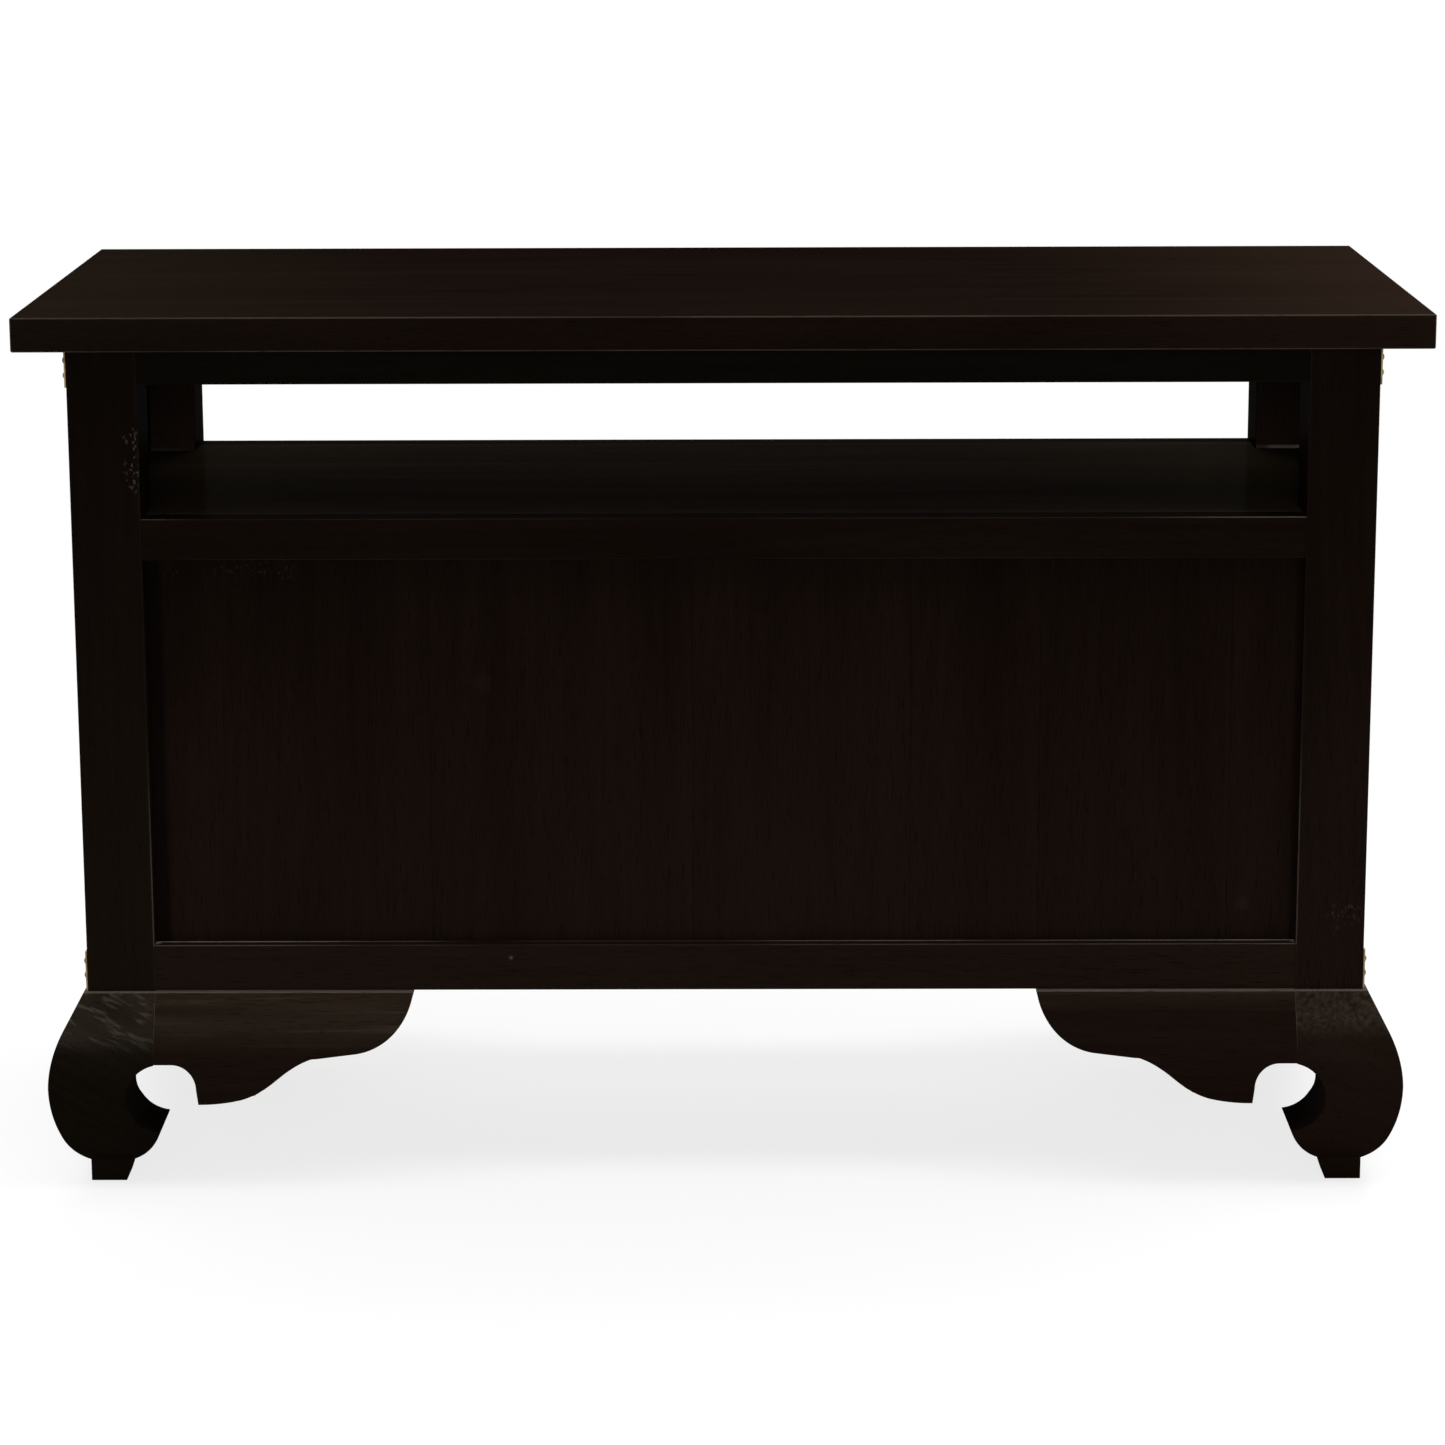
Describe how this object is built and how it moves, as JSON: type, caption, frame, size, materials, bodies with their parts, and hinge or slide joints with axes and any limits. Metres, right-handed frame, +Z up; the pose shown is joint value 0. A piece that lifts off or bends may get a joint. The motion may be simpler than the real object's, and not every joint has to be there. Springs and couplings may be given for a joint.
{
  "type": "tv cabinet",
  "caption": "Low dark mahogany TV cabinet on hooked opium legs: wide top, open slot under it, framed back panel, hinged doors and brass corner mounts.",
  "frame": {"origin": "on the floor under the middle of the top", "axes": "+X to the right as seen from the front, -Y to the front where the doors are, +Z up"},
  "size_m": [1.1, 0.45, 0.712],
  "materials": {
    "top_wood": "dark mahogany, satin",
    "frame_wood": "dark mahogany, satin",
    "panel_wood": "dark mahogany, satin",
    "base_wood": "dark mahogany, satin",
    "shelf_wood": "dark mahogany, satin polish",
    "inner_wood": "bare mahogany",
    "brass": "aged brass",
    "catch_plastic": "matt brown",
    "strike_steel": "zinc plated"
  },
  "bodies": {
    "carcass": {"back_panel": "panel_wood", "bottom_board": "inner_wood", "corner_nails": "brass", "door_catches": "catch_plastic", "front_bottom_rail": "frame_wood", "front_corner_mounts": "brass", "front_left_bracket": "base_wood", "front_left_leg": "base_wood", "front_left_post": "frame_wood", "front_mid_rail": "frame_wood", "front_right_bracket": "base_wood", "front_right_leg": "base_wood", "front_right_post": "frame_wood", "front_top_rail": "frame_wood", "left_apron": "base_wood", "left_bottom_rail": "frame_wood", "left_hinge_pins": "brass", "left_hinge_post_leaves": "brass", "left_shelf_cleat": "inner_wood", "left_side_panel": "panel_wood", "left_top_rail": "frame_wood", "leg_dowels": "inner_wood", "rear_bottom_rail": "frame_wood", "rear_corner_plates": "brass", "rear_left_bracket": "base_wood", "rear_left_leg": "base_wood", "rear_left_post": "frame_wood", "rear_mid_rail": "frame_wood", "rear_right_bracket": "base_wood", "rear_right_leg": "base_wood", "rear_right_post": "frame_wood", "rear_top_rail": "frame_wood", "right_apron": "base_wood", "right_bottom_rail": "frame_wood", "right_hinge_pins": "brass", "right_hinge_post_leaves": "brass", "right_shelf_cleat": "inner_wood", "right_side_panel": "panel_wood", "right_top_rail": "frame_wood", "shelf_board": "shelf_wood", "top_board": "top_wood", "top_dowels": "inner_wood"},
    "left_door": {"left_door_bottom_rail": "frame_wood", "left_door_hinge_stile": "frame_wood", "left_door_meeting_stile": "frame_wood", "left_door_panel": "panel_wood", "left_door_top_rail": "frame_wood", "left_hinge_door_leaves": "brass", "left_knob": "brass", "left_strike_plate": "strike_steel"},
    "right_door": {"right_door_bottom_rail": "frame_wood", "right_door_hinge_stile": "frame_wood", "right_door_meeting_stile": "frame_wood", "right_door_panel": "panel_wood", "right_door_top_rail": "frame_wood", "right_hinge_door_leaves": "brass", "right_knob": "brass", "right_strike_plate": "strike_steel"}
  },
  "joints": [
    {"name": "left_door_hinge", "type": "hinge", "parent": "carcass", "child": "left_door", "pos_m": [-0.4577, -0.1927, 0.356], "axis": [0, 0, -1], "range_deg": [0, 180]},
    {"name": "right_door_hinge", "type": "hinge", "parent": "carcass", "child": "right_door", "pos_m": [0.4577, -0.1927, 0.356], "axis": [0, 0, 1], "range_deg": [0, 180]}
  ]
}
